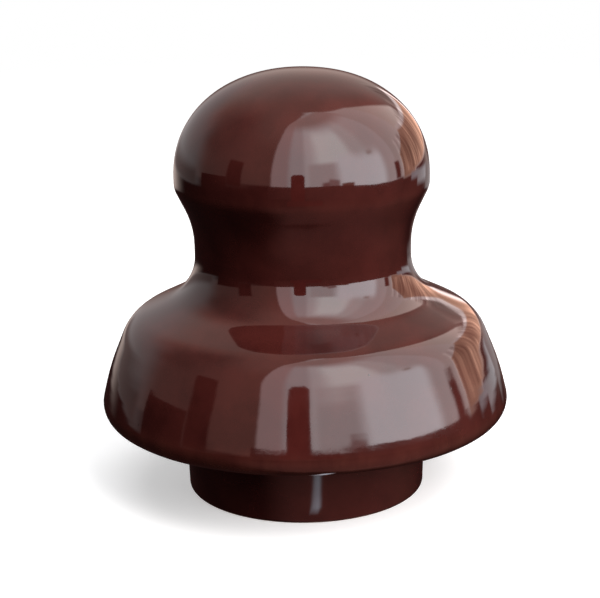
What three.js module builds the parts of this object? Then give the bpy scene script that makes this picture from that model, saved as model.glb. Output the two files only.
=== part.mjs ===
// A pin-type line insulator: a brown-glazed porcelain body with a domed head, a side wire groove, one outer
// shed and an inner petticoat, and the threaded metal thimble that is cemented into its pin hole.
// Millimetres, +Z up. The origin is the centre of the petticoat's rim, the plane that the insulator stands on.
import * as THREE from "three";

// ---- driving dimensions -------------------------------------------------------------------------------

// Pin thread and thimble
const THREAD_MAJOR_RADIUS = 10.6; // root of the thimble's internal thread
const THREAD_DEPTH = 1.3;
const THREAD_PITCH = 4.5;
const THREAD_RUN_OUT = 5; // plain length between the last turn and the thimble's closed end
const THIMBLE_WALL = 1.8;
const THIMBLE_LENGTH = 46;
const THIMBLE_END = 2.4; // thickness of the closed end
const THIMBLE_PROUD = 1.5; // how far the mouth stands out of the porcelain's ledge
const THIMBLE_CHAMFER = 1;

// Cement joint
const CEMENT_THICKNESS = 2.5;
const KEY_DEPTH = 0.7; // grooves that lock the cement to the porcelain and to the thimble
const KEY_COUNT = 4;
const SEAL_DEPTH = 1.2; // bitumen over the cement's open end
const SEAL_RECESS = 1; // from the ledge in to the seal
const CUSHION_THICKNESS = 3.2;
const FIT_GAP = 0.3; // between pieces that touch

// Porcelain, measured outwards from the pin hole
const NECK_WALL = 8.6;
const HEAD_OVERHANG = 4.1;
const LEDGE_WIDTH = 3; // the step at the mouth of the pin hole
const CAVITY_FLARE = 3.1; // how much the petticoat's inside opens from the ledge to the rim
const PETTICOAT_WALL = 5.2; // at the rim
const PETTICOAT_TAPER = 0.5; // how much wider the petticoat is at the shed's lip than at its rim
const PETTICOAT_DRAFT = 0.7; // how much it draws in again from the lip up to its root
const RAIN_GAP_MOUTH = 9.4; // between the petticoat and the shed's lip
const RAIN_GAP_DRAFT = 2.3; // how much the shed's inside closes from lip to root
const LIP_THICKNESS = 10.1;
const SHOULDER_COVER = 4.9; // from the rain gap out to the shoulder's corner
const BELLY_BULGE = 1; // how far the shed's side stands out of a straight line

// Porcelain, measured upwards from the rim
const PETTICOAT_DROP = 17.3; // rim to shed lip
const RAIN_GAP_DEPTH = 20; // shed lip to the root of the rain gap
const SHOULDER_HEIGHT = 2.5; // root of the rain gap to the shoulder's corner
const SHOULDER_RISE = 7.4;
const NECK_HEIGHT = 13.8;
const FLANK_HEIGHT = 8.4;
const HEAD_BAND = 2.2;
const DOME_HEIGHT = 23.4;
const LEDGE_HEIGHT = 26; // rim to the step at the mouth of the pin hole

// Fillets and curves
const DOME_EXPONENT = 2.15; // 2 is an ellipse, and more is fuller
const HEAD_FILLET = 4.5;
const NECK_TOP_FILLET = 28;
const NECK_FOOT_FILLET = 11.5;
const SHOULDER_FILLET = 10;
const BELLY_FILLET = 50;
const LIP_OUTER_FILLET = 5;
const LIP_INNER_FILLET = 3.5;
const RAIN_GAP_FILLET = 3.2;
const RIM_FILLET = 1;
const LEDGE_FILLET = 1.2;
const BORE_END_FILLET = 1.2;

// Fineness of the faceted solids
const BODY_SEGMENTS = 36;
const INNER_SEGMENTS = 24;
const DOME_STEPS = 9;
const ARC_STEP = THREE.MathUtils.degToRad(22);
const THREAD_ROWS_PER_TURN = 4;

// ---- worked out from them -----------------------------------------------------------------------------

const thimbleRadius = THREAD_MAJOR_RADIUS + THIMBLE_WALL;
const boreRadius = thimbleRadius + FIT_GAP + CEMENT_THICKNESS + FIT_GAP;
const neckRadius = boreRadius + NECK_WALL;
const headRadius = neckRadius + HEAD_OVERHANG;
const cavityRadius = boreRadius + LEDGE_WIDTH;
const rimInnerRadius = cavityRadius + CAVITY_FLARE;
const rimOuterRadius = rimInnerRadius + PETTICOAT_WALL;
const petticoatRadius = rimOuterRadius + PETTICOAT_TAPER;
const lipInnerRadius = petticoatRadius + RAIN_GAP_MOUTH;
const lipOuterRadius = lipInnerRadius + LIP_THICKNESS;
const gapRootRadius = lipInnerRadius - RAIN_GAP_DRAFT;
const shoulderRadius = gapRootRadius + SHOULDER_COVER;

const lipZ = PETTICOAT_DROP;
const gapRootZ = lipZ + RAIN_GAP_DEPTH;
const shoulderZ = gapRootZ + SHOULDER_HEIGHT;
const neckFootZ = shoulderZ + SHOULDER_RISE;
const neckTopZ = neckFootZ + NECK_HEIGHT;
const headEdgeZ = neckTopZ + FLANK_HEIGHT;
const domeBaseZ = headEdgeZ + HEAD_BAND;
const bellyRadius = (lipOuterRadius + shoulderRadius) / 2 + BELLY_BULGE;
const bellyZ = (lipZ + shoulderZ) / 2;

const thimbleMouthZ = LEDGE_HEIGHT - THIMBLE_PROUD;
const thimbleEndZ = thimbleMouthZ + THIMBLE_LENGTH;
const sealZ = LEDGE_HEIGHT + SEAL_RECESS;
const cementZ = sealZ + SEAL_DEPTH + FIT_GAP;
const cushionZ = thimbleEndZ + FIT_GAP;
const cementEndZ = cushionZ + CUSHION_THICKNESS;
const boreEndZ = cementEndZ + FIT_GAP;

// ---- outline helpers ----------------------------------------------------------------------------------

const at = (radius, z, fillet = 0) => ({ point: new THREE.Vector2(radius, z), fillet });

// The points that round off one corner with an arc, which is limited to a share of the shorter side.
function roundedCorner(before, corner, after) {
  const back = before.point.clone().sub(corner.point);
  const on = after.point.clone().sub(corner.point);
  const room = 0.49 * Math.min(back.length(), on.length());
  back.normalize();
  on.normalize();
  const turn = Math.PI - Math.acos(THREE.MathUtils.clamp(back.dot(on), -1, 1));
  const reach = Math.min(corner.fillet * Math.tan(turn / 2), room);
  if (reach < 1e-3) return [corner.point];
  const radius = reach / Math.tan(turn / 2);
  const toCentre = back.clone().add(on).normalize();
  const centre = corner.point.clone().addScaledVector(toCentre, radius / Math.cos(turn / 2));
  const start = corner.point.clone().addScaledVector(back, reach).sub(centre);
  const side = Math.sign(back.cross(on)) || 1;
  const steps = Math.max(2, Math.ceil(turn / ARC_STEP));
  return Array.from({ length: steps + 1 }, (_, i) =>
    start.clone().rotateAround(new THREE.Vector2(), (-side * turn * i) / steps).add(centre),
  );
}

// An open outline through a list of corners, each rounded by its own fillet.
function outline(corners) {
  return corners.flatMap((corner, i) => {
    const isEnd = i === 0 || i === corners.length - 1;
    return isEnd ? [corner.point] : roundedCorner(corners[i - 1], corner, corners[i + 1]);
  });
}

// Corners of a cylindrical wall with evenly spaced square-shouldered grooves cut into it, from z0 to z1.
function keyedWall(radius, depth, z0, z1) {
  const pitch = (z1 - z0) / (KEY_COUNT + 0.5);
  const land = pitch / 2;
  const slope = Math.min(Math.abs(depth), land / 4);
  const corners = [at(radius, z0)];
  for (let i = 0; i < KEY_COUNT; i++) {
    const start = z0 + land + i * pitch;
    corners.push(at(radius, start));
    corners.push(at(radius + depth, start + slope));
    corners.push(at(radius + depth, start + land - slope));
    corners.push(at(radius, start + land));
  }
  corners.push(at(radius, z1));
  return corners;
}

// A solid of revolution about Z. The outline holds (radius, z) points, and runs anticlockwise round the section.
function revolve(points, segments) {
  return new THREE.LatheGeometry(points, segments).rotateX(Math.PI / 2);
}

const closed = (points) => [...points, points[0]];

// ---- pieces -------------------------------------------------------------------------------------------

// The cement keys run over one stretch of the bore, so that the porcelain, cement and thimble grooves face
// each other.
const keysFromZ = cementZ;
const keysToZ = thimbleEndZ - THIMBLE_CHAMFER;

function porcelainBody() {
  const dome = [];
  for (let i = 0; i < DOME_STEPS; i++) {
    const angle = (i / DOME_STEPS) * (Math.PI / 2);
    const share = 2 / DOME_EXPONENT;
    const radius = headRadius * Math.sin(angle) ** share;
    dome.push(new THREE.Vector2(radius, domeBaseZ + DOME_HEIGHT * Math.cos(angle) ** share));
  }
  const skin = outline([
    at(headRadius, domeBaseZ),
    at(headRadius, headEdgeZ, HEAD_FILLET),
    at(neckRadius, neckTopZ, NECK_TOP_FILLET),
    at(neckRadius, neckFootZ, NECK_FOOT_FILLET),
    at(shoulderRadius, shoulderZ, SHOULDER_FILLET),
    at(bellyRadius, bellyZ, BELLY_FILLET),
    at(lipOuterRadius, lipZ, LIP_OUTER_FILLET),
    at(lipInnerRadius, lipZ, LIP_INNER_FILLET),
    at(gapRootRadius, gapRootZ, RAIN_GAP_FILLET),
    at(petticoatRadius - PETTICOAT_DRAFT, gapRootZ, RAIN_GAP_FILLET),
    at(petticoatRadius, lipZ),
    at(rimOuterRadius, 0, RIM_FILLET),
    at(rimInnerRadius, 0, RIM_FILLET),
    at(cavityRadius, LEDGE_HEIGHT, LEDGE_FILLET),
    at(boreRadius, LEDGE_HEIGHT, LEDGE_FILLET),
    ...keyedWall(boreRadius, KEY_DEPTH, keysFromZ, keysToZ),
    at(boreRadius, boreEndZ, BORE_END_FILLET),
    at(0, boreEndZ),
  ]);
  return revolve([...dome, ...skin].reverse(), BODY_SEGMENTS);
}

function thimbleCement() {
  const outer = keyedWall(boreRadius - FIT_GAP, KEY_DEPTH, keysFromZ, keysToZ);
  const inner = keyedWall(thimbleRadius + FIT_GAP, -KEY_DEPTH, keysFromZ, keysToZ).reverse();
  const section = outline([
    ...outer,
    at(boreRadius - FIT_GAP, cementEndZ, BORE_END_FILLET - FIT_GAP),
    at(thimbleRadius + FIT_GAP, cementEndZ),
    ...inner,
  ]);
  return revolve(closed(section), INNER_SEGMENTS);
}

// The thimble's inside is a plain bore whose rows are then moved in and out along the helix.
function pinThimble() {
  const threadFromZ = thimbleMouthZ + THIMBLE_CHAMFER;
  const threadToZ = thimbleEndZ - THIMBLE_END - THREAD_RUN_OUT;
  const minorRadius = THREAD_MAJOR_RADIUS - THREAD_DEPTH;
  const rows = Math.round(((threadToZ - threadFromZ) / THREAD_PITCH) * THREAD_ROWS_PER_TURN);
  const bore = Array.from(
    { length: rows + 1 },
    (_, i) => at(THREAD_MAJOR_RADIUS, THREE.MathUtils.lerp(threadToZ, threadFromZ, i / rows)),
  );
  const section = outline([
    at(0, thimbleEndZ - THIMBLE_END),
    at(THREAD_MAJOR_RADIUS, thimbleEndZ - THIMBLE_END, THIMBLE_CHAMFER),
    ...bore,
    at(THREAD_MAJOR_RADIUS + THIMBLE_CHAMFER / 2, thimbleMouthZ),
    at(thimbleRadius, thimbleMouthZ, THIMBLE_CHAMFER / 2),
    ...keyedWall(thimbleRadius, -KEY_DEPTH, keysFromZ, keysToZ),
    at(thimbleRadius - THIMBLE_CHAMFER, thimbleEndZ),
    at(0, thimbleEndZ),
  ]);
  const geometry = revolve(section, INNER_SEGMENTS);
  const position = geometry.attributes.position;
  for (let i = 0; i < position.count; i++) {
    const [x, y, z] = [position.getX(i), position.getY(i), position.getZ(i)];
    const radius = Math.hypot(x, y);
    const onThread = radius > minorRadius && radius < THREAD_MAJOR_RADIUS + THIMBLE_CHAMFER / 4;
    if (!onThread || z < threadFromZ - 0.01 || z > threadToZ + 0.01) continue;
    const turns = (z - threadFromZ) / THREAD_PITCH - Math.atan2(y, x) / (2 * Math.PI);
    const fade = Math.min(1, (z - threadFromZ) / THREAD_PITCH, (threadToZ - z) / THREAD_PITCH);
    const inward = THREAD_DEPTH * Math.max(0, fade) * (0.5 - 0.5 * Math.cos(2 * Math.PI * turns));
    position.setXY(i, (x * (radius - inward)) / radius, (y * (radius - inward)) / radius);
  }
  return geometry;
}

function bitumenSeal() {
  const section = outline([
    at(thimbleRadius + FIT_GAP, sealZ),
    at(boreRadius - FIT_GAP, sealZ),
    at(boreRadius - FIT_GAP, sealZ + SEAL_DEPTH),
    at(thimbleRadius + FIT_GAP, sealZ + SEAL_DEPTH),
  ]);
  return revolve(closed(section), INNER_SEGMENTS);
}

function crownCushion() {
  const section = outline([
    at(0, cushionZ),
    at(thimbleRadius, cushionZ),
    at(thimbleRadius, cementEndZ),
    at(0, cementEndZ),
  ]);
  return revolve(section, INNER_SEGMENTS);
}

// ---- assembly -----------------------------------------------------------------------------------------

const materials = {
  glazed_porcelain: { color: 0x4a1a15, roughness: 0.08, metalness: 0 },
  cement: { color: 0x9a968c, roughness: 0.95, metalness: 0 },
  galvanised_iron: { color: 0x9aa0a3, roughness: 0.45, metalness: 1 },
  bitumen: { color: 0x14120f, roughness: 0.6, metalness: 0 },
  cork: { color: 0xa27a4c, roughness: 0.9, metalness: 0 },
};

const pieces = [
  ["porcelain_body", porcelainBody(), materials.glazed_porcelain],
  ["thimble_cement", thimbleCement(), materials.cement],
  ["pin_thimble", pinThimble(), materials.galvanised_iron],
  ["bitumen_seal", bitumenSeal(), materials.bitumen],
  ["crown_cushion", crownCushion(), materials.cork],
];

const insulator = new THREE.Group();
for (const [name, geometry, finish] of pieces) {
  const mesh = new THREE.Mesh(geometry, new THREE.MeshStandardMaterial(finish));
  mesh.name = name;
  insulator.add(mesh);
}

export default insulator;
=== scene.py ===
# The looks of a brown-glazed porcelain pin insulator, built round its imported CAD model.
# Metres, +Z up. The origin is the centre of the petticoat's rim, as in the CAD.
import math

import bpy
import numpy as np
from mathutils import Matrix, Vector, noise


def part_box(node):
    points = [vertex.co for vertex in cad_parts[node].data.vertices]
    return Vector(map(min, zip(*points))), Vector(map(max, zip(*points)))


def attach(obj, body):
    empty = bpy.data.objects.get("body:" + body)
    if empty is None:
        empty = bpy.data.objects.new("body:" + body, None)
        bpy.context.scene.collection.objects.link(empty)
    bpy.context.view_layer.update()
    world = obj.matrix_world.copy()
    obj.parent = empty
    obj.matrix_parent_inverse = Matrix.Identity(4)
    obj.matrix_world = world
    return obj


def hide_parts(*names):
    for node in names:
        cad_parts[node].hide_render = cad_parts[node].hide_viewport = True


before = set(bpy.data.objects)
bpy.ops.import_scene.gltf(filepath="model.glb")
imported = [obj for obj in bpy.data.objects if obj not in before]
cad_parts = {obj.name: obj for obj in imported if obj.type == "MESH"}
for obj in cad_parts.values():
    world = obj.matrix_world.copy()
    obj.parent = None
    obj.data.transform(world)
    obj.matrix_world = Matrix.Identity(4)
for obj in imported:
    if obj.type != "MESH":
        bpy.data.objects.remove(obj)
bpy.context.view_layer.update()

MM = 0.001
TINY = 1e-7

# ---- sizes ------------------------------------------------------------------------------------------------

FIT_GAP = 0.3 * MM  # between the CAD solids of pieces that touch
CONTACT_GAP = 0.03 * MM  # between the fine pieces that stand for them

# Pin thread and thimble
THREAD_MAJOR_RADIUS = 10.6 * MM
THREAD_DEPTH = 1.3 * MM
THREAD_PITCH = 4.5 * MM
THREAD_RUN_OUT = 5 * MM
THIMBLE_END = 2.4 * MM
THIMBLE_PROUD = 1.5 * MM
THIMBLE_CHAMFER = 1 * MM

# Cement joint
KEY_DEPTH = 0.7 * MM
KEY_COUNT = 4
KEY_FILLET = 0.15 * MM
SEAL_CREEP = 0.5 * MM  # how far the bitumen climbs down the walls on both sides
SEAL_DIP = 0.45 * MM  # how far its middle is hollowed
SEAL_RIPPLE = 0.18 * MM
SEAL_RIPPLE_CELL = 4 * MM
SEAL_RIPPLE_FADE = 0.6 * MM  # the ripple dies out over this much of the seal's height

# Cork cushion
CUSHION_FILLET = 0.3 * MM
CORK_GRANULE = 1.7 * MM
CORK_DENT = 0.25 * MM

# Porcelain, measured outwards from the pin hole
NECK_WALL = 8.6 * MM
HEAD_OVERHANG = 4.1 * MM
LEDGE_WIDTH = 3 * MM
CAVITY_FLARE = 3.1 * MM
PETTICOAT_WALL = 5.2 * MM
PETTICOAT_TAPER = 0.5 * MM
PETTICOAT_DRAFT = 0.7 * MM
RAIN_GAP_MOUTH = 9.4 * MM
RAIN_GAP_DRAFT = 2.3 * MM
LIP_THICKNESS = 10.1 * MM
SHOULDER_COVER = 4.9 * MM
BELLY_BULGE = 1 * MM

# Porcelain, measured upwards from the rim
PETTICOAT_DROP = 17.3 * MM
RAIN_GAP_DEPTH = 20 * MM
SHOULDER_HEIGHT = 2.5 * MM
SHOULDER_RISE = 7.4 * MM
NECK_HEIGHT = 13.8 * MM
FLANK_HEIGHT = 8.4 * MM
HEAD_BAND = 2.2 * MM

# Fillets and curves of the porcelain
DOME_EXPONENT = 2.15
HEAD_FILLET = 4.5 * MM
NECK_TOP_FILLET = 28 * MM
NECK_FOOT_FILLET = 11.5 * MM
SHOULDER_FILLET = 10 * MM
BELLY_FILLET = 50 * MM
LIP_OUTER_FILLET = 5 * MM
LIP_INNER_FILLET = 3.5 * MM
RAIN_GAP_FILLET = 3.2 * MM
RIM_FILLET = 1 * MM
LEDGE_FILLET = 1.2 * MM
BORE_END_FILLET = 1.2 * MM

# How far the turned and glazed surface strays from a true one
UNDULATION = 0.06 * MM
UNDULATION_CELL = 15 * MM
TURNING_RING = 0.012 * MM
TURNING_RING_CELL = 3.2 * MM
RIM_TRUE_TO = 3 * MM  # below this height the surface strays less, and not at all at the rim

# Fineness of the meshes
BODY_SEGMENTS = 192
INNER_SEGMENTS = 96
ARC_STEP = math.radians(6)
FEWEST_ARC_STEPS = 3
FILLET_SHARE = 0.49  # the most of its shorter side that a fillet takes up
ROW_SPACING = 1.2 * MM
THREAD_ROW_SPACING = 0.3 * MM
FINE_SPACING = 0.5 * MM
DOME_STEPS = 48
SEAL_STEPS = 10

# ---- places worked out from the frame ---------------------------------------------------------------------


def turned_radius(node):
    """A turned CAD node's outer radius."""
    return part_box(node)[1].x


def heights(node):
    """A CAD node's lowest and highest z."""
    low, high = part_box(node)
    return low.z, high.z


rim_z, top_z = heights("porcelain_body")
thimble_mouth_z, thimble_end_z = heights("pin_thimble")
seal_z, seal_top_z = heights("bitumen_seal")
cushion_z, cushion_top_z = heights("crown_cushion")
thimble_radius = turned_radius("pin_thimble")
seal_radius = turned_radius("bitumen_seal")
cushion_radius = turned_radius("crown_cushion")
bore_radius = seal_radius + FIT_GAP
bore_end_z = cushion_top_z + FIT_GAP

neck_radius = bore_radius + NECK_WALL
head_radius = neck_radius + HEAD_OVERHANG
cavity_radius = bore_radius + LEDGE_WIDTH
rim_inner_radius = cavity_radius + CAVITY_FLARE
rim_outer_radius = rim_inner_radius + PETTICOAT_WALL
petticoat_radius = rim_outer_radius + PETTICOAT_TAPER
lip_inner_radius = petticoat_radius + RAIN_GAP_MOUTH
lip_outer_radius = lip_inner_radius + LIP_THICKNESS
gap_root_radius = lip_inner_radius - RAIN_GAP_DRAFT
shoulder_radius = gap_root_radius + SHOULDER_COVER

ledge_z = thimble_mouth_z + THIMBLE_PROUD
lip_z = rim_z + PETTICOAT_DROP
gap_root_z = lip_z + RAIN_GAP_DEPTH
shoulder_z = gap_root_z + SHOULDER_HEIGHT
neck_foot_z = shoulder_z + SHOULDER_RISE
neck_top_z = neck_foot_z + NECK_HEIGHT
head_edge_z = neck_top_z + FLANK_HEIGHT
dome_base_z = head_edge_z + HEAD_BAND
belly_radius = (lip_outer_radius + shoulder_radius) / 2 + BELLY_BULGE
belly_z = (lip_z + shoulder_z) / 2

keys_from_z = heights("thimble_cement")[0]
keys_to_z = thimble_end_z - THIMBLE_CHAMFER

# ---- camera -----------------------------------------------------------------------------------------------

CAMERA_DISTANCE = 0.3584
CAMERA_HEIGHT = 0.1413
CAMERA_ASIDE = -0.0008
CAMERA_PITCH = math.radians(15.32)
CAMERA_ROLL = math.radians(-0.93)
CAMERA_LENS_MM = 99.2
CAMERA_CLIP_START = 0.01


def make_camera():
    camera = bpy.data.objects.new("camera", bpy.data.cameras.new("camera"))
    camera.data.lens = CAMERA_LENS_MM
    camera.location = (CAMERA_ASIDE, -CAMERA_DISTANCE, CAMERA_HEIGHT)
    camera.rotation_mode = "ZYX"
    camera.rotation_euler = (math.pi / 2 - CAMERA_PITCH, 0, CAMERA_ROLL)
    camera.data.clip_start = CAMERA_CLIP_START
    bpy.context.scene.collection.objects.link(camera)
    bpy.context.scene.camera = camera


# ---- turned meshes ----------------------------------------------------------------------------------------


def rounded_corner(before, corner, after):
    """The points that round off one corner with an arc, limited to a share of the shorter side."""
    here = np.array(corner[:2])
    back = np.array(before[:2]) - here
    on = np.array(after[:2]) - here
    room = FILLET_SHARE * min(np.linalg.norm(back), np.linalg.norm(on))
    back = back / np.linalg.norm(back)
    on = on / np.linalg.norm(on)
    turn = math.pi - math.acos(max(-1.0, min(1.0, float(back @ on))))
    reach = min(corner[2] * math.tan(turn / 2), room)
    if reach < TINY:
        return [here]
    radius = reach / math.tan(turn / 2)
    middle = (back + on) / np.linalg.norm(back + on)
    centre = here + middle * radius / math.cos(turn / 2)
    spoke = here + back * reach - centre
    side = -math.copysign(1.0, back[0] * on[1] - back[1] * on[0])
    steps = max(FEWEST_ARC_STEPS, math.ceil(turn / ARC_STEP))
    points = []
    for i in range(steps + 1):
        cos = math.cos(side * turn * i / steps)
        sin = math.sin(side * turn * i / steps)
        points.append(centre + np.array([cos * spoke[0] - sin * spoke[1], sin * spoke[0] + cos * spoke[1]]))
    return points


def outline(corners, spacing=ROW_SPACING):
    """An open outline of (radius, z) through (radius, z, fillet) corners, with long sides split up."""
    points = [np.array(corners[0][:2])]
    for before, corner, after in zip(corners, corners[1:], corners[2:]):
        points += rounded_corner(before, corner, after)
    points.append(np.array(corners[-1][:2]))
    split = [points[0]]
    for end in points[1:]:
        start = split[-1]
        length = np.linalg.norm(end - start)
        if length < TINY:
            continue
        parts = math.ceil(length / spacing)
        split += [start + (end - start) * k / parts for k in range(1, parts + 1)]
    return split


def revolve(name, points, segments, closed=False, warp=None):
    """A piece turned about Z. Its outline runs clockwise round the section, with the radius to the right."""
    angles = [2 * math.pi * k / segments for k in range(segments)]
    vertices = []
    rows = []
    for radius, z in points:
        first = len(vertices)
        if radius < TINY:
            rows.append([first] * segments)
            vertices.append((0.0, 0.0, z))
        else:
            rows.append(list(range(first, first + segments)))
            vertices += [(radius * math.cos(a), radius * math.sin(a), z) for a in angles]
    faces = []
    for upper, lower in zip(rows, rows[1:] + rows[:1] if closed else rows[1:]):
        for k in range(segments):
            on = (k + 1) % segments
            faces.append(list(dict.fromkeys([upper[k], lower[k], lower[on], upper[on]])))
    if warp:
        vertices = [warp(Vector(v)) for v in vertices]
    mesh = bpy.data.meshes.new(name)
    mesh.from_pydata(vertices, [], faces)
    mesh.shade_smooth()
    piece = bpy.data.objects.new(name, mesh)
    bpy.context.scene.collection.objects.link(piece)
    return piece


def keyed_wall(radius, depth, low_z, high_z):
    """Corners of an upright wall with square-shouldered grooves cut into it, from low_z to high_z."""
    land = (high_z - low_z) / (KEY_COUNT + 0.5) / 2
    slope = min(abs(depth), land / 4)
    corners = [(radius, low_z, 0)]
    for i in range(KEY_COUNT):
        start = low_z + land * (1 + 2 * i)
        corners.append((radius, start, KEY_FILLET))
        corners.append((radius + depth, start + slope, KEY_FILLET))
        corners.append((radius + depth, start + land - slope, KEY_FILLET))
        corners.append((radius, start + land, KEY_FILLET))
    corners.append((radius, high_z, 0))
    return corners


def stand_for(piece, node, material):
    """The piece takes a CAD node's place and rides where that node rides."""
    piece.data.materials.append(material)
    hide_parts(node)
    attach(piece, "root")


def wander(point, cell):
    """Smooth noise of about -1 to 1 that changes over roughly cell metres."""
    return noise.noise(point / cell)


def smooth_step(value, low, high):
    share = max(0.0, min(1.0, (value - low) / (high - low)))
    return share * share * (3 - 2 * share)


# ---- material helpers -------------------------------------------------------------------------------------


class Finish:
    """A node material with one Principled shader, and short ways to build what feeds it."""

    def __init__(self, name, **sockets):
        self.material = bpy.data.materials.new(name)
        self.material.use_nodes = True
        self.tree = self.material.node_tree
        self.shader = self.tree.nodes["Principled BSDF"]
        self.put(**sockets)
        self.place = self.tree.nodes.new("ShaderNodeTexCoord").outputs["Object"]

    def put(self, **sockets):
        """Sets or links the shader's inputs, with _ for a space in their names."""
        for name, value in sockets.items():
            self.feed(self.shader.inputs[name.replace("_", " ")], value)

    def feed(self, socket, value):
        if isinstance(value, bpy.types.NodeSocket):
            self.tree.links.new(value, socket)
        elif socket.type == "RGBA":
            socket.default_value = (*value, 1)
        else:
            socket.default_value = value

    def node(self, kind, inputs, output, **settings):
        made = self.tree.nodes.new(kind)
        for name, value in settings.items():
            setattr(made, name, value)
        for name, value in inputs.items():
            self.feed(made.inputs[name], value)
        return made.outputs[output]

    def noise(self, cell, detail=2.0, roughness=0.5, stretch=(1, 1, 1)):
        """Noise of about 0 to 1 with features of roughly cell metres."""
        place = self.node("ShaderNodeVectorMath", {0: self.place, 1: stretch}, 0, operation="MULTIPLY")
        inputs = {"Vector": place, "Scale": 1 / cell, "Detail": detail, "Roughness": roughness}
        return self.node("ShaderNodeTexNoise", inputs, "Fac")

    def cells(self, cell, output="Distance", feature="F1"):
        inputs = {"Vector": self.place, "Scale": 1 / cell}
        return self.node("ShaderNodeTexVoronoi", inputs, output, feature=feature)

    def height(self):
        return self.node("ShaderNodeSeparateXYZ", {"Vector": self.place}, "Z")

    def reach(self):
        """The distance from the Z axis."""
        flat = self.node("ShaderNodeVectorMath", {0: self.place, 1: (1, 1, 0)}, 0, operation="MULTIPLY")
        return self.node("ShaderNodeVectorMath", {0: flat}, "Value", operation="LENGTH")

    def ramp(self, value, low, high, to_low=0.0, to_high=1.0):
        """The value taken smoothly from low..high to to_low..to_high, and held outside."""
        inputs = {"Value": value, "From Min": low, "From Max": high, "To Min": to_low, "To Max": to_high}
        return self.node("ShaderNodeMapRange", inputs, "Result", interpolation_type="SMOOTHSTEP")

    def math(self, operation, first, second):
        return self.node("ShaderNodeMath", {0: first, 1: second}, 0, operation=operation)

    def mix(self, share, first, second):
        inputs = {"Factor": share, 6: first, 7: second}
        return self.node("ShaderNodeMix", inputs, 2, data_type="RGBA")

    def bump(self, height, distance, below=None):
        inputs = {"Height": height, "Distance": distance}
        if below:
            inputs["Normal"] = below
        return self.node("ShaderNodeBump", inputs, "Normal")


# ---- finishes ---------------------------------------------------------------------------------------------

# Glaze
GLAZE_DEEP = (0.028, 0.0050, 0.0043)
GLAZE_RED = (0.048, 0.0090, 0.0075)
GLAZE_THIN = (0.085, 0.022, 0.015)
GLAZE_SPECK = (0.008, 0.004, 0.004)
GLAZE_IOR = 1.52
MOTTLING_CELL = 11 * MM
STREAK_CELL = 3 * MM
SPECK_CELL = 4.6 * MM
SPECK_PATCH_CELL = 17 * MM
HAZE_CELL = 19 * MM
DULLNESS_CELL = 6 * MM
PEEL_CELL = 1.6 * MM
PEEL_DEPTH = 0.004 * MM
PIT_DEPTH = 0.02 * MM
THIN_ABOVE_LIP = (2 * MM, 7 * MM)  # heights above the lip where the redder band fades out
LIP_EDGE = 0.5 * MM  # the band starts within this of the lip
HEAD_BAND_REACH = 3 * MM  # how far the head's redder band reaches to both sides of its edge
DULL_BELOW_LIP = (2.5 * MM, 0.5 * MM)  # depths under the lip between which the duller glaze fades in

# Bare porcelain
BARE_PORCELAIN = (0.40, 0.29, 0.22)
BARE_STAIN = (0.25, 0.15, 0.10)
BARE_ROUGHNESS = 0.8
BARE_CELL = 2.2 * MM
GRIT_CELL = 0.5 * MM
GRIT_DEPTH = 0.08 * MM
GLAZE_LINE = (0.50 * MM, 0.62 * MM)  # heights between which the glaze begins above the rim
GLAZE_LINE_WAVER = 0.5 * MM
WAVER_CELL = 5 * MM
BORE_EDGE = (1 * MM, 1.2 * MM)  # distances outside the bore where its bare part ends
LEDGE_EDGE = (0.4 * MM, 0.2 * MM)  # depths under the ledge where the bare part begins
CROWN_EDGE = (1 * MM, 2 * MM)  # heights above the bore's end where the bare part ends

# Zinc
ZINC_DARK = (0.36, 0.38, 0.40)
ZINC_LIGHT = (0.58, 0.60, 0.61)
ZINC_CHALK = (0.55, 0.55, 0.53)
SPANGLE_CELL = 2.6 * MM
CHALK_CELL = 5 * MM
ZINC_RUN_CELL = 1.8 * MM
ZINC_RUN_DEPTH = 0.05 * MM

# Cement
CEMENT_DARK = (0.24, 0.23, 0.20)
CEMENT_LIGHT = (0.46, 0.44, 0.39)
CEMENT_SAND = (0.16, 0.14, 0.12)
CEMENT_CELL = 4 * MM
SAND_GRAIN = 0.7 * MM
SAND_CELL = 0.5 * MM
SAND_DEPTH = 0.12 * MM
VOID_CELL = 2.4 * MM
VOID_DEPTH = 0.2 * MM

# Bitumen
BITUMEN_BLACK = (0.007, 0.006, 0.005)
BITUMEN_DUST = (0.035, 0.030, 0.025)
DUST_CELL = 3 * MM
BRUSH_CELL = 1.4 * MM
BRUSH_DEPTH = 0.08 * MM

# Cork
CORK_DARK = (0.24, 0.13, 0.06)
CORK_LIGHT = (0.50, 0.31, 0.15)
CORK_JOINT = (0.10, 0.05, 0.025)
CORK_PORE = 0.35 * MM
CORK_DEPTH = 0.15 * MM


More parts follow.
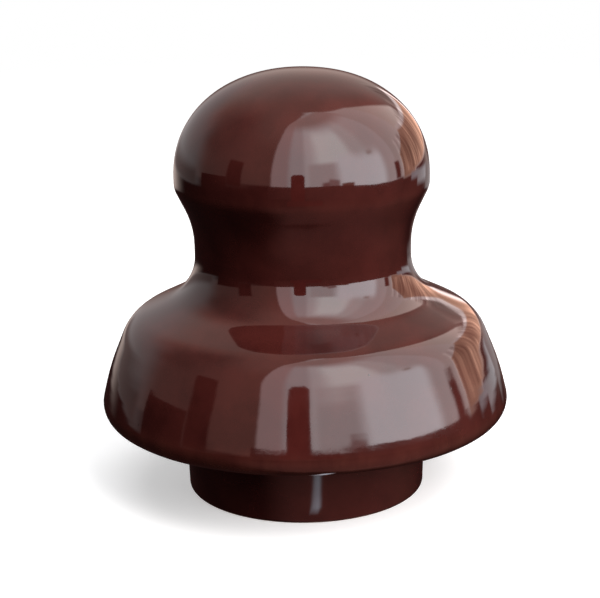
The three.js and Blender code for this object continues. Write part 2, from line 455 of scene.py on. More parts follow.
def glaze_finish():
    """Iron-brown glaze: deep where it pools, redder where it runs thin over an edge, and duller on the
    petticoat. It stops just above the rim and at the pin hole, where the porcelain is bare."""
    finish = Finish("brown_glaze", IOR=GLAZE_IOR)
    z = finish.height()
    mottling = finish.ramp(finish.noise(MOTTLING_CELL, 4, 0.55), 0.3, 0.7)
    colour = finish.mix(mottling, GLAZE_DEEP, GLAZE_RED)

    over_lip = finish.ramp(z, lip_z + THIN_ABOVE_LIP[0], lip_z + THIN_ABOVE_LIP[1], 1, 0)
    under_lip = finish.ramp(z, lip_z - LIP_EDGE, lip_z + LIP_EDGE)
    from_head_edge = finish.math("ABSOLUTE", finish.math("SUBTRACT", z, head_edge_z), 0)
    at_head = finish.ramp(from_head_edge, 0, HEAD_BAND_REACH, 0.25, 0)
    thin = finish.math("MAXIMUM", finish.math("MULTIPLY", over_lip, under_lip), at_head)
    streaks = finish.ramp(finish.noise(STREAK_CELL, 3, 0.6, (1, 1, 0.25)), 0.35, 0.75, 0.35, 1)
    thin_share = finish.math("MULTIPLY", thin, finish.math("MULTIPLY", streaks, 0.6))
    colour = finish.mix(thin_share, colour, GLAZE_THIN)

    speck_size = finish.ramp(finish.noise(SPECK_PATCH_CELL, 1), 0.45, 0.62, 0.0, 0.055)
    specks = finish.math("LESS_THAN", finish.cells(SPECK_CELL), speck_size)
    colour = finish.mix(finish.math("MULTIPLY", specks, 0.75), colour, GLAZE_SPECK)

    petticoat = finish.ramp(z, lip_z - DULL_BELOW_LIP[0], lip_z - DULL_BELOW_LIP[1], 1, 0)
    haze = finish.ramp(finish.noise(HAZE_CELL, 5, 0.6), 0.35, 0.75, 0.045, 0.085)
    dull = finish.ramp(finish.noise(DULLNESS_CELL, 4, 0.6), 0.3, 0.7, 0.05, 0.10)
    roughness = finish.math("ADD", finish.math("MULTIPLY", petticoat, dull), haze)

    waver = finish.math("MULTIPLY", finish.noise(WAVER_CELL, 4, 0.6), GLAZE_LINE_WAVER)
    at_rim = finish.ramp(finish.math("ADD", z, waver), *GLAZE_LINE, 1, 0)
    reach = finish.math("ADD", finish.reach(), waver)
    in_bore = finish.ramp(reach, bore_radius + BORE_EDGE[0], bore_radius + BORE_EDGE[1], 1, 0)
    above_ledge = finish.ramp(z, ledge_z - LEDGE_EDGE[0], ledge_z - LEDGE_EDGE[1])
    below_crown = finish.ramp(z, bore_end_z + CROWN_EDGE[0], bore_end_z + CROWN_EDGE[1], 1, 0)
    in_bore = finish.math("MULTIPLY", in_bore, finish.math("MULTIPLY", above_ledge, below_crown))
    bare = finish.math("MAXIMUM", at_rim, in_bore)
    body = finish.mix(finish.ramp(finish.noise(BARE_CELL, 5, 0.65), 0.35, 0.7), BARE_PORCELAIN, BARE_STAIN)
    colour = finish.mix(bare, colour, body)
    roughness = finish.math("MAXIMUM", roughness, finish.math("MULTIPLY", bare, BARE_ROUGHNESS))

    peel = finish.bump(finish.noise(PEEL_CELL, 2, 0.5), PEEL_DEPTH)
    pits = finish.ramp(finish.cells(SPECK_CELL), 0, finish.math("ADD", speck_size, 0.01), 0, 1)
    pitted = finish.bump(pits, PIT_DEPTH, peel)
    grit = finish.math("MULTIPLY", bare, finish.noise(GRIT_CELL, 3, 0.7))
    finish.put(Base_Color=colour, Roughness=roughness, Normal=finish.bump(grit, GRIT_DEPTH, pitted))
    return finish.material


def galvanised_finish():
    """Zinc with crystal spangle, gone dull and chalky in patches."""
    finish = Finish("galvanised_iron", Metallic=1.0)
    spangle = finish.node("ShaderNodeSeparateColor", {"Color": finish.cells(SPANGLE_CELL, "Color")}, "Red")
    colour = finish.mix(spangle, ZINC_DARK, ZINC_LIGHT)
    chalk = finish.ramp(finish.noise(CHALK_CELL, 5, 0.6), 0.5, 0.7)
    colour = finish.mix(finish.math("MULTIPLY", chalk, 0.6), colour, ZINC_CHALK)
    facets = finish.ramp(spangle, 0, 1, 0.3, 0.46)
    roughness = finish.math("ADD", facets, finish.math("MULTIPLY", chalk, 0.25))
    runs = finish.bump(finish.noise(ZINC_RUN_CELL, 4, 0.6), ZINC_RUN_DEPTH)
    finish.put(Base_Color=colour, Roughness=roughness, Normal=runs)
    return finish.material


def cement_finish():
    """Grey Portland cement with sand grains and small voids."""
    finish = Finish("cement", Specular_IOR_Level=0.3)
    colour = finish.mix(finish.noise(CEMENT_CELL, 5, 0.6), CEMENT_DARK, CEMENT_LIGHT)
    grains = finish.node("ShaderNodeSeparateColor", {"Color": finish.cells(SAND_GRAIN, "Color")}, "Red")
    colour = finish.mix(finish.ramp(grains, 0.75, 0.9, 0, 0.6), colour, CEMENT_SAND)
    sand = finish.bump(finish.noise(SAND_CELL, 4, 0.7), SAND_DEPTH)
    voids = finish.bump(finish.ramp(finish.cells(VOID_CELL), 0.08, 0.16), VOID_DEPTH, sand)
    finish.put(Base_Color=colour, Roughness=finish.ramp(grains, 0, 1, 0.85, 0.97), Normal=voids)
    return finish.material


def bitumen_finish():
    """Black bitumen paint, shiny where it ran thick and dusty where it dried."""
    finish = Finish("bitumen", IOR=1.6)
    dust = finish.ramp(finish.noise(DUST_CELL, 5, 0.65), 0.45, 0.75)
    colour = finish.mix(dust, BITUMEN_BLACK, BITUMEN_DUST)
    brush = finish.bump(finish.noise(BRUSH_CELL, 3, 0.55, (1, 1, 2.5)), BRUSH_DEPTH)
    finish.put(Base_Color=colour, Roughness=finish.ramp(dust, 0, 1, 0.25, 0.6), Normal=brush)
    return finish.material


def cork_finish():
    """Pressed cork: granules of several browns with dark joints."""
    finish = Finish("cork", Specular_IOR_Level=0.25)
    tone = finish.node("ShaderNodeSeparateColor", {"Color": finish.cells(CORK_GRANULE, "Color")}, "Green")
    colour = finish.mix(tone, CORK_DARK, CORK_LIGHT)
    joints = finish.ramp(finish.cells(CORK_GRANULE, feature="DISTANCE_TO_EDGE"), 0.0, 0.09)
    colour = finish.mix(joints, CORK_JOINT, colour)
    pores = finish.ramp(finish.noise(CORK_PORE, 3, 0.7), 0.35, 0.6)
    grain = finish.bump(finish.math("MULTIPLY", joints, pores), CORK_DEPTH)
    finish.put(Base_Color=colour, Roughness=finish.ramp(pores, 0, 1, 0.98, 0.85), Normal=grain)
    return finish.material


# ---- pieces -----------------------------------------------------------------------------------------------


def dome_points():
    """The crown, a superellipse from the apex down to the head's band."""
    share = 2 / DOME_EXPONENT
    height = top_z - dome_base_z
    points = []
    for i in range(DOME_STEPS):
        angle = i / DOME_STEPS * math.pi / 2
        radius = head_radius * math.sin(angle) ** share
        points.append(np.array([radius, dome_base_z + height * math.cos(angle) ** share]))
    return points


def porcelain_outline():
    """From the apex down the outside, round the lip and the rim, and up to the pin hole's end."""
    skin = outline([
        (head_radius, dome_base_z, 0),
        (head_radius, head_edge_z, HEAD_FILLET),
        (neck_radius, neck_top_z, NECK_TOP_FILLET),
        (neck_radius, neck_foot_z, NECK_FOOT_FILLET),
        (shoulder_radius, shoulder_z, SHOULDER_FILLET),
        (belly_radius, belly_z, BELLY_FILLET),
        (lip_outer_radius, lip_z, LIP_OUTER_FILLET),
        (lip_inner_radius, lip_z, LIP_INNER_FILLET),
        (gap_root_radius, gap_root_z, RAIN_GAP_FILLET),
        (petticoat_radius - PETTICOAT_DRAFT, gap_root_z, RAIN_GAP_FILLET),
        (petticoat_radius, lip_z, 0),
        (rim_outer_radius, rim_z, RIM_FILLET),
        (rim_inner_radius, rim_z, RIM_FILLET),
        (cavity_radius, ledge_z, LEDGE_FILLET),
        (bore_radius, ledge_z, LEDGE_FILLET),
        *keyed_wall(bore_radius, KEY_DEPTH, keys_from_z, keys_to_z),
        (bore_radius, bore_end_z, BORE_END_FILLET),
        (0, bore_end_z, 0),
    ])
    return dome_points() + skin


def stray(place, normal):
    """How a hand-finished surface strays from a true one: slow undulations and faint turning rings. The rim
    stays flat and the pin hole stays true."""
    ring = noise.noise(Vector((0, 0, place.z / TURNING_RING_CELL)))
    distance = UNDULATION * wander(place, UNDULATION_CELL) + TURNING_RING * ring
    off_rim = smooth_step(place.z, rim_z, rim_z + RIM_TRUE_TO)
    off_bore = smooth_step(place.xy.length, bore_radius, cavity_radius) if place.z < bore_end_z + MM else 1
    return place + normal * distance * off_rim * off_bore


def make_porcelain():
    piece = revolve("porcelain", porcelain_outline(), BODY_SEGMENTS)
    moved = [stray(v.co.copy(), v.normal.copy()) for v in piece.data.vertices]
    for vertex, place in zip(piece.data.vertices, moved):
        vertex.co = place
    piece.data.update()
    stand_for(piece, "porcelain_body", glaze_finish())


def make_thimble():
    """The threaded thimble. Its bore is plain, and its rows are then moved in and out along the helix."""
    thread_from_z = thimble_mouth_z + THIMBLE_CHAMFER
    thread_to_z = thimble_end_z - THIMBLE_END - THREAD_RUN_OUT
    outside = outline([
        (0, thimble_end_z, 0),
        (thimble_radius, thimble_end_z, THIMBLE_CHAMFER),
        *keyed_wall(thimble_radius, -KEY_DEPTH, keys_from_z, keys_to_z - THIMBLE_CHAMFER)[::-1],
        (thimble_radius, thimble_mouth_z, THIMBLE_CHAMFER / 2),
        (THREAD_MAJOR_RADIUS + THIMBLE_CHAMFER / 2, thimble_mouth_z, THIMBLE_CHAMFER / 4),
        (THREAD_MAJOR_RADIUS, thread_from_z, 0),
    ], FINE_SPACING)
    inside = outline([
        (THREAD_MAJOR_RADIUS, thread_from_z, 0),
        (THREAD_MAJOR_RADIUS, thimble_end_z - THIMBLE_END, THIMBLE_CHAMFER),
        (0, thimble_end_z - THIMBLE_END, 0),
    ], THREAD_ROW_SPACING)

    def threaded(point):
        radius = point.xy.length
        in_thread = thread_from_z < point.z < thread_to_z and abs(radius - THREAD_MAJOR_RADIUS) < TINY * 10
        if not in_thread:
            return point
        turns = (point.z - thread_from_z) / THREAD_PITCH - math.atan2(point.y, point.x) / (2 * math.pi)
        fade = min(1, (point.z - thread_from_z) / THREAD_PITCH, (thread_to_z - point.z) / THREAD_PITCH)
        share = 1 - THREAD_DEPTH * fade * (0.5 - 0.5 * math.cos(2 * math.pi * turns)) / radius
        return Vector((point.x * share, point.y * share, point.z))

    piece = revolve("thimble", outside + inside[1:], INNER_SEGMENTS, warp=threaded)
    stand_for(piece, "pin_thimble", galvanised_finish())


def dented(cell, depth):
    """A warp that only moves points towards the axis, so that the piece keeps clear of what it fits in."""

    def warp(point):
        radius = point.xy.length
        if radius < TINY:
            return point
        share = 1 - depth * abs(wander(point, cell)) / radius
        return Vector((point.x * share, point.y * share, point.z))

    return warp


def make_cement():
    """The cement between the thimble and the porcelain, keyed into the grooves of both."""
    low_z = seal_top_z + CONTACT_GAP
    high_z = bore_end_z - CONTACT_GAP
    outer = keyed_wall(bore_radius - CONTACT_GAP, KEY_DEPTH, keys_from_z, keys_to_z)[::-1]
    inner = keyed_wall(thimble_radius + CONTACT_GAP, -KEY_DEPTH, keys_from_z, keys_to_z - THIMBLE_CHAMFER)
    points = outline([
        (thimble_radius + CONTACT_GAP, high_z, 0),
        (bore_radius - CONTACT_GAP, high_z, BORE_END_FILLET),
        *outer,
        (bore_radius - CONTACT_GAP, low_z, 0),
        (thimble_radius + CONTACT_GAP, low_z, 0),
        *inner,
        (thimble_radius + CONTACT_GAP, high_z - CONTACT_GAP, 0),
    ], FINE_SPACING)
    piece = revolve("cement", points, INNER_SEGMENTS, closed=True)
    stand_for(piece, "thimble_cement", cement_finish())


def make_seal():
    """Bitumen poured over the cement: hollow in the middle, and climbing the walls on both sides."""
    inner_radius = thimble_radius + CONTACT_GAP
    outer_radius = bore_radius - CONTACT_GAP
    points = [np.array([inner_radius, seal_top_z]), np.array([outer_radius, seal_top_z])]
    for i in range(SEAL_STEPS + 1):
        share = i / SEAL_STEPS
        hollow = 1 - (2 * share - 1) ** 2
        z = seal_z - SEAL_CREEP + (SEAL_CREEP + SEAL_DIP) * hollow
        points.append(np.array([outer_radius + (inner_radius - outer_radius) * share, z]))

    def poured(point):
        under_top = smooth_step(seal_top_z - point.z, 0, SEAL_RIPPLE_FADE)
        ripple = SEAL_RIPPLE * wander(point, SEAL_RIPPLE_CELL) * under_top
        return Vector((point.x, point.y, point.z + ripple))

    piece = revolve("seal", points, INNER_SEGMENTS, closed=True, warp=poured)
    stand_for(piece, "bitumen_seal", bitumen_finish())


def make_cushion():
    """The cork pad between the thimble's closed end and the porcelain."""
    points = outline([
        (0, bore_end_z - CONTACT_GAP, 0),
        (cushion_radius, bore_end_z - CONTACT_GAP, CUSHION_FILLET),
        (cushion_radius, cushion_z - FIT_GAP + CONTACT_GAP, CUSHION_FILLET),
        (0, cushion_z - FIT_GAP + CONTACT_GAP, 0),
    ], FINE_SPACING)
    piece = revolve("cushion", points, INNER_SEGMENTS, warp=dented(CORK_GRANULE, CORK_DENT))
    stand_for(piece, "crown_cushion", cork_finish())


# ---- floor, lights and what the glaze reflects ------------------------------------------------------------

FLOOR_HALF_WIDTH = 8
FLOOR_COLOUR = (0.80, 0.80, 0.81, 1)
FLOOR_ROUGHNESS = 0.9
FLOOR_GLOW = 0.42
FLOOR_FADE_FROM = 0.15  # distances from the object where the floor starts and ends to fade
FLOOR_FADE_TO = 0.8
BACKDROP = (1, 1, 1, 1)
ROOM_RADIUS = 1.0
ROOM_CENTRE_Z = 0.08
ROOM_STEP = 1.0  # degrees between the room's grid lines


def link_stage(stage_object):
    bpy.context.scene.collection.objects.link(stage_object)


def only_reflected(stage_object):
    """Seen in glossy reflections and nowhere else: it lights nothing and hides nothing."""
    stage_object.visible_camera = False
    stage_object.visible_diffuse = False
    stage_object.visible_transmission = False
    stage_object.visible_volume_scatter = False
    stage_object.visible_shadow = False


def glow(name, colour=None):
    """An emission material of one colour, or of the mesh's own colours."""
    material = bpy.data.materials.new(name)
    material.use_nodes = True
    material.cycles.emission_sampling = "NONE"
    tree = material.node_tree
    tree.nodes.remove(tree.nodes["Principled BSDF"])
    emission = tree.nodes.new("ShaderNodeEmission")
    if colour:
        emission.inputs["Color"].default_value = (*colour, 1)
    else:
        attribute = tree.nodes.new("ShaderNodeAttribute")
        attribute.attribute_name = "light"
        tree.links.new(attribute.outputs["Color"], emission.inputs["Color"])
    tree.links.new(emission.outputs[0], tree.nodes["Material Output"].inputs["Surface"])
    return material


# The room. Its directions are azimuths, where 0 is the camera's side and 90 is the object's right, +X, and
# elevations, both in degrees.
ROOM_WALL = (0.72, 0.37, 0.31)
ROOM_CEILING = (0.95, 0.55, 0.47)
ROOM_FLOOR = (0.02, 0.01, 0.01)
CEILING_FROM = 50  # where the walls turn into the ceiling
CEILING_SOFTNESS = 30
HORIZON_SOFTNESS = 1.5

# The window's upper edge is straight and runs close to overhead: how far from the zenith, and how slanted
WINDOW_TOP = 90  # in a panel, it stands for the height that window_top works out
WINDOW_SETBACK = 0.115
WINDOW_SLANT = 0.9

# What stands in the room. Each panel covers what is before it in the list: the azimuths where it starts and
# ends, its lower edge, its upper edge at the start and at the end, the softness of its sides and upper edge,
# the softness of its lower edge, and its red, green and blue.
PANELS = [
    (-125, -55, -3, 60, 60, 40, 4, (0.40, 0.25, 0.22)),  # dark corner on the left
    (-215, -140, -13, 66, 66, 30, 3, (0.80, 0.64, 0.58)),  # wall behind
    (-168, -104, -8, 34, 30, 24, 2, (0.64, 0.59, 0.59)),  # paler part of it, on the left
    (-205, -166, -20, 8, 8, 12, 4, (0.14, 0.08, 0.07)),  # low dark furniture behind
    (-112, -78, 20, 62, 62, 26, 18, (0.22, 0.17, 0.15)),  # dark corner again, higher up
    (-5, 120, -80, 2, 2, 60, 20, (0.27, 0.11, 0.09)),  # lit floor on the right
    (-30, 95, -80, -20, -20, 40, 20, (0.46, 0.16, 0.14)),  # table top close in front
    (-27, 95, -4, WINDOW_TOP, WINDOW_TOP, 1.6, 1, (3.0, 2.1, 2.1)),  # big window, its left pane
    (-12, 95, -4, WINDOW_TOP, WINDOW_TOP, 6, 1, (3.5, 3.1, 3.2)),
    (3, 95, -4, WINDOW_TOP, WINDOW_TOP, 6, 1, (4.6, 4.2, 4.3)),  # its second pane
    (14, 50, 8, 62, 60, 14, 8, (6.4, 6.2, 6.2)),  # the brightest part
    (6, 36, -4, 24, 24, 6, 4, (3.8, 3.3, 3.35)),  # pale sheet on the pane
    (33, 80, -4, 30, 30, 12, 1, (6.4, 6.1, 6.4)),
    (52, 95, 28, WINDOW_TOP, WINDOW_TOP, 12, 18, (4.5, 4.0, 4.0)),
    (68, 95, 28, WINDOW_TOP, WINDOW_TOP, 12, 18, (3.9, 3.3, 3.3)),
    (80, 95, -4, WINDOW_TOP, WINDOW_TOP, 8, 1, (3.8, 3.2, 3.2)),
    (93, 120, -4, 82, 62, 3, 1, (3.2, 2.6, 2.5)),
    (118, 144, 20, 64, 25, 3, 2, (3.0, 2.4, 2.2)),  # wall above the curtain
    (-27, 100, 68, WINDOW_TOP, WINDOW_TOP, 4, 14, (2.4, 1.7, 1.6)),
    (100, 121, -5, 15.5, 27, 1, 2, (3.3, 2.7, 2.6)),  # pale edge of the curtain
    (119, 165, -3, 27, 12, 1, 2, (3.3, 2.7, 2.6)),
    (101.5, 120, -5, 12.5, 24.5, 1, 2, (1.9, 1.05, 0.74)),  # curtain
    (118, 163, -3, 24.5, 9, 1, 2, (1.9, 1.05, 0.74)),
    (112, 126, -8, -4, -5, 2, 2, (1.2, 1.2, 1.3)),  # pale skirting, which drops towards the back
    (123, 146, -11, -5, -7, 2, 2, (1.1, 1.1, 1.15)),
    (143, 170, -15, -7, -10, 3, 3, (0.5, 0.45, 0.45)),
    (-160, -106, -8, -2, 2, 8, 2, (0.28, 0.22, 0.21)),  # low things on the left
    (-69, -54, -3, 21, 21, 1.2, 1, (0.02, 0.01, 0.01)),  # furniture against the dim wall
    (18, 26, -4, 3, 4, 3, 1, (1.3, 0.75, 0.75)),  # things on the window sill
    (24, 33, -4, 7, 5, 3, 1, (1.8, 1.2, 1.2)),
    (35, 46, -4, 1.5, 1.5, 1, 1, (0.9, 0.4, 0.3)),
    (66, 72, 25, 29, 29, 4, 3, (3.2, 2.7, 2.6)),  # smudge on the pane
    (91, 97, -4, 10, 9, 1.2, 1, (0.4, 0.12, 0.10)),
]

# The window sill's edge, closer than the walls: azimuth in degrees, distance from the axis and height
SILL = [
    (-29, 0.50, 0.075),
    (30, 0.50, 0.075),
    (45, 0.46, 0.064),
    (60, 0.47, 0.053),
    (75, 0.52, 0.042),
    (98, 0.75, 0.020),
]
SILL_DEPTH = 0.09
SILL_SHADE = -20  # the sill is as bright as the room is at this elevation

# The streak of light on the table: places across and along it, each with its brightness, and its two ends
STREAK_ACROSS = [(-1, 0), (-0.4, 0.75), (0.3, 1), (1, 0)]
STREAK_ALONG = [(0.08, 0), (0.2, 1.1), (0.4, 0.8), (1, 0.6)]
STREAK_NEAR = (0.0020, -0.0285, 0)
STREAK_FAR = (0.0053, -0.042, 0.009)
STREAK_HALF_WIDTH = 1.9 * MM
STREAK_LIGHT = (2.6, 2.85, 3.3)
STREAK_EDGE_LIGHT = (0.42, 0.16, 0.13)

# Where the curtain's folds show, and how softly they fade at its sides, top and foot
CURTAIN_FROM = 101
CURTAIN_TO = 164
CURTAIN_TOP = 24
CURTAIN_FOOT = -2
CURTAIN_SIDE_FADE = 2
CURTAIN_TOP_FADE = 3
CURTAIN_FOOT_FADE = 2
CURTAIN_CONTRAST = 0.9
WIDE_FOLD = (5, 30, 0)  # degrees across and along a fold, and which noise it takes
NARROW_FOLD = (2, 20, 9)

# Flat shapes close in front: left, right, top, bottom, y, how far the top corners are cut, and colour. The
# low block on the left is given by its corners.
NEAR_CARDS = {
    "dark_upright": (-0.029, 0.007, 0.114, 0.026, -0.180, 0.007, (0.45, 0.07, 0.06)),
    "dark_foot": (-0.040, 0.055, 0.040, 0.026, -0.179, 0.004, (0.40, 0.08, 0.07)),
}
LOW_BLOCK = [(-0.421, 0.047, -0.3), (-0.391, -0.161, -0.3), (-0.391, -0.161, 0.108), (-0.421, 0.047, 0.087)]
LOW_BLOCK_COLOUR = (0.02, 0.01, 0.01)

# Soft lamps: azimuth, elevation, distance, size, watts and colour. The last one stands for the light that a
# floor throws back, and shows the underside.
LAMPS = {
    "window": (42, 36, 1.2, 0.9, 26, (1.0, 0.97, 0.95)),
    "ceiling": (0, 88, 1.3, 1.4, 15, (1, 1, 1)),
    "back": (-150, 35, 1.3, 1.0, 4, (1, 1, 1)),
    "left": (-75, 30, 1.3, 1.0, 2.5, (1, 1, 1)),
    "bounce": (0, -80, 0.7, 0.8, 1.4, (1, 1, 1)),
}


def edge(value, at, softness):
    """0 below at, 1 above it, and smooth across softness."""
    share = np.clip((value - at) / softness + 0.5, 0, 1)
    return share * share * (3 - 2 * share)


def fold(azimuth, elevation, across, along, seed):
    """One layer of the curtain's folds, of about -1 to 1."""
    return noise.noise(Vector((azimuth / across, elevation / along, seed)))


def curtain_folds(azimuth, elevation):
    """Uneven upright folds of about -1 to 1 on the curtain, and 0 elsewhere."""
    places = zip(azimuth, elevation)
    folds = np.array([fold(*place, *WIDE_FOLD) + fold(*place, *NARROW_FOLD) for place in places])
    in_width = edge(azimuth, CURTAIN_FROM, CURTAIN_SIDE_FADE) * edge(CURTAIN_TO, azimuth, CURTAIN_SIDE_FADE)
    under_top = edge(CURTAIN_TOP, elevation, CURTAIN_TOP_FADE)
    above_foot = edge(elevation, CURTAIN_FOOT, CURTAIN_FOOT_FADE)
    return folds * in_width * under_top * above_foot


def window_top(azimuth):
    """The elevation of the window's straight upper edge, which runs close to overhead."""
    turn = np.radians(azimuth)
    facing = np.sin(turn) + WINDOW_SLANT * np.cos(turn)
    return np.degrees(np.arccos(WINDOW_SETBACK / np.maximum(facing, WINDOW_SETBACK)))


def room_light(azimuth, elevation):
    """The room's brightness in each direction, as rows of red, green and blue."""
    up = edge(elevation, CEILING_FROM, CEILING_SOFTNESS)[:, None]
    light = np.array(ROOM_WALL) * (1 - up) + np.array(ROOM_CEILING) * up
    below = edge(-elevation, 0, HORIZON_SOFTNESS)[:, None]
    light = light * (1 - below) + np.array(ROOM_FLOOR) * below
    for start, end, low, high_at_start, high_at_end, softness, low_softness, colour in PANELS:
        middle = (start + end) / 2
        turn = (azimuth - middle + 180) % 360 - 180 + middle - start
        high = high_at_start + (high_at_end - high_at_start) * np.clip(turn / (end - start), 0, 1)
        if high_at_start == WINDOW_TOP:
            high = window_top(azimuth)
        across = edge(turn, 0, softness) * edge(end - start - turn, 0, softness)
        cover = (across * edge(elevation, low, low_softness) * edge(high, elevation, softness))[:, None]
        light = light * (1 - cover) + np.array(colour) * cover
    return light * np.exp(CURTAIN_CONTRAST * curtain_folds(azimuth, elevation))[:, None]


def out_towards(azimuth, elevation):
    """The direction at an azimuth and an elevation in degrees, or one row for each of many."""
    turn = np.radians(azimuth)
    lift = np.radians(elevation)
    return np.stack([np.sin(turn) * np.cos(lift), -np.cos(turn) * np.cos(lift), np.sin(lift)], -1)


def grid_faces(rows, columns, ring=False):
    """Quads over a grid of points listed row by row, where a ring's last column joins its first."""
    faces = []
    for row in range(rows - 1):
        for k in range(columns if ring else columns - 1):
            on = (k + 1) % columns
            under = row * columns
            over = under + columns
            faces.append([under + k, under + on, over + on, over + k])
    return faces


def painted_mesh(name, places, faces, light):
    """A shape that only the object's gloss sees, with its light painted on its vertices."""
    mesh = bpy.data.meshes.new(name)
    mesh.from_pydata(places.tolist(), [], faces)
    colours = np.ones((len(places), 4), dtype=np.float32)
    colours[:, :3] = light
    mesh.color_attributes.new("light", "FLOAT_COLOR", "POINT").data.foreach_set("color", colours.ravel())
    mesh.materials.append(glow(name + "_light"))
    painted = bpy.data.objects.new(name, mesh)
    link_stage(painted)
    only_reflected(painted)


def make_room():
    """A round room, which holds all the panels."""
    azimuths = np.arange(-180, 180, ROOM_STEP)
    elevations = np.arange(-90, 90 + ROOM_STEP, ROOM_STEP)
    azimuth, elevation = (grid.ravel() for grid in np.meshgrid(azimuths, elevations))
    places = ROOM_RADIUS * out_towards(azimuth, elevation)
    places[:, 2] += ROOM_CENTRE_Z
    faces = grid_faces(len(elevations), len(azimuths), ring=True)
    painted_mesh("room", places, faces, room_light(azimuth, elevation))


def make_sill():
    """The window sill, which hides the foot of the room's window."""
    azimuths = np.arange(SILL[0][0], SILL[-1][0] + ROOM_STEP, ROOM_STEP)
    stops, distances, tops = zip(*SILL)
    edge_line = np.interp(azimuths, stops, distances)[:, None] * out_towards(azimuths, 0 * azimuths)
    edge_line[:, 2] = np.interp(azimuths, stops, tops)
    foot_line = edge_line - np.array([0, 0, SILL_DEPTH])
    shade = room_light(azimuths, SILL_SHADE + 0 * azimuths)
    places = np.concatenate([foot_line, edge_line])
    painted_mesh("window_sill", places, grid_faces(2, len(azimuths)), np.concatenate([shade, shade]))


def reflected_card(name, corners, colour):
    """A flat shape that only the object's gloss sees."""
    mesh = bpy.data.meshes.new(name)
    mesh.from_pydata(corners, [], [list(range(len(corners)))])
    mesh.materials.append(glow(name + "_light", colour))
    card = bpy.data.objects.new(name, mesh)
    link_stage(card)
    only_reflected(card)


def upright_card(name, left, right, top, bottom, y, cut, colour):
    """A reflected card that faces the object from the camera's side."""
    corners = [(left, bottom), (right, bottom), (right, top - cut), (right - cut, top)]
    corners += [(left + cut, top), (left, top - cut)]
    reflected_card(name, [(x, y, z) for x, z in corners], colour)


def make_cards():
    """What stands close by: a dark upright shape in front with a wide foot, and a low block on the left."""
    for name, card in NEAR_CARDS.items():
        upright_card(name, *card)
    reflected_card("low_block", LOW_BLOCK, LOW_BLOCK_COLOUR)


def make_streak():
    """A streak of light on the table, close to the petticoat that it shows in."""
    near = np.array(STREAK_NEAR)
    far = np.array(STREAK_FAR)
    places = []
    light = []
    for along, strength in STREAK_ALONG:
        for across, share in STREAK_ACROSS:
            places.append(near + (far - near) * along + np.array([across * STREAK_HALF_WIDTH, 0, 0]))
            lit = strength * share
            light.append(np.array(STREAK_EDGE_LIGHT) * max(0, 1 - lit) + np.array(STREAK_LIGHT) * lit)
    faces = grid_faces(len(STREAK_ALONG), len(STREAK_ACROSS))
    painted_mesh("table_streak", np.array(places), faces, np.array(light))


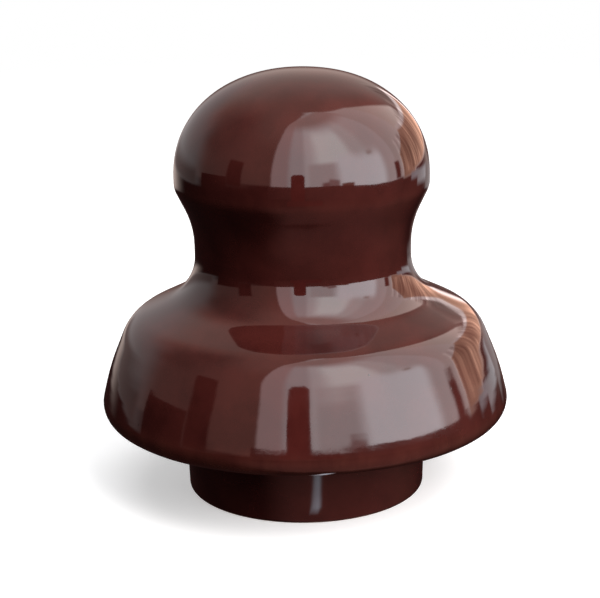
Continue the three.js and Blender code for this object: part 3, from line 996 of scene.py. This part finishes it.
def make_floor():
    """A pale floor that glows a little, so that only a soft shadow shows. It fades into the backdrop, and is
    clear from below."""
    material = bpy.data.materials.new("pale_floor")
    material.use_nodes = True
    tree = material.node_tree
    shader = tree.nodes["Principled BSDF"]
    shader.inputs["Base Color"].default_value = FLOOR_COLOUR
    shader.inputs["Roughness"].default_value = FLOOR_ROUGHNESS
    shader.inputs["Specular IOR Level"].default_value = 0
    shader.inputs["Emission Color"].default_value = (1, 1, 1, 1)
    shader.inputs["Emission Strength"].default_value = FLOOR_GLOW
    far = tree.nodes.new("ShaderNodeEmission")
    far.inputs["Color"].default_value = BACKDROP
    place = tree.nodes.new("ShaderNodeTexCoord")
    distance = tree.nodes.new("ShaderNodeVectorMath")
    distance.operation = "LENGTH"
    fade = tree.nodes.new("ShaderNodeMapRange")
    fade.interpolation_type = "SMOOTHSTEP"
    fade.inputs["From Min"].default_value = FLOOR_FADE_FROM
    fade.inputs["From Max"].default_value = FLOOR_FADE_TO
    faded = tree.nodes.new("ShaderNodeMixShader")
    clear = tree.nodes.new("ShaderNodeBsdfTransparent")
    side = tree.nodes.new("ShaderNodeNewGeometry")
    sided = tree.nodes.new("ShaderNodeMixShader")
    for start, end in (
        (place.outputs["Object"], distance.inputs[0]),
        (distance.outputs["Value"], fade.inputs["Value"]),
        (fade.outputs["Result"], faded.inputs[0]),
        (shader.outputs[0], faded.inputs[1]),
        (far.outputs[0], faded.inputs[2]),
        (side.outputs["Backfacing"], sided.inputs[0]),
        (faded.outputs[0], sided.inputs[1]),
        (clear.outputs[0], sided.inputs[2]),
        (sided.outputs[0], tree.nodes["Material Output"].inputs["Surface"]),
    ):
        tree.links.new(start, end)
    mesh = bpy.data.meshes.new("floor")
    around = ((-1, -1), (1, -1), (1, 1), (-1, 1))
    corners = [(x * FLOOR_HALF_WIDTH, y * FLOOR_HALF_WIDTH, rim_z) for x, y in around]
    mesh.from_pydata(corners, [], [[0, 1, 2, 3]])
    mesh.materials.append(material)
    floor = bpy.data.objects.new("floor", mesh)
    link_stage(floor)
    floor.visible_glossy = False
    floor.visible_diffuse = False
    floor.visible_shadow = False


def make_lamp(name, azimuth, elevation, distance, size, power, colour):
    """A square soft lamp that points at the middle of the room and shows in no reflection."""
    light = bpy.data.lights.new(name, "AREA")
    light.size = size
    light.energy = power
    light.color = colour
    lamp = bpy.data.objects.new(name, light)
    out = Vector(out_towards(azimuth, elevation))
    lamp.location = out * distance + Vector((0, 0, ROOM_CENTRE_Z))
    lamp.rotation_euler = out.to_track_quat("Z", "Y").to_euler()
    lamp.visible_glossy = False
    lamp.visible_camera = False
    bpy.context.scene.collection.objects.link(lamp)


def make_lights():
    for name, lamp in LAMPS.items():
        make_lamp(name, *lamp)


def make_backdrop():
    """White where the camera looks past the floor, and no light of its own."""
    world = bpy.data.worlds.new("backdrop")
    world.use_nodes = True
    tree = world.node_tree
    rays = tree.nodes.new("ShaderNodeLightPath")
    tree.nodes["Background"].inputs["Color"].default_value = BACKDROP
    tree.links.new(rays.outputs["Is Camera Ray"], tree.nodes["Background"].inputs["Strength"])
    bpy.context.scene.world = world
    bpy.context.scene.view_settings.view_transform = "Standard"


make_camera()
make_porcelain()
make_thimble()
make_cement()
make_seal()
make_cushion()
make_room()
make_sill()
make_cards()
make_streak()
make_floor()
make_lights()
make_backdrop()
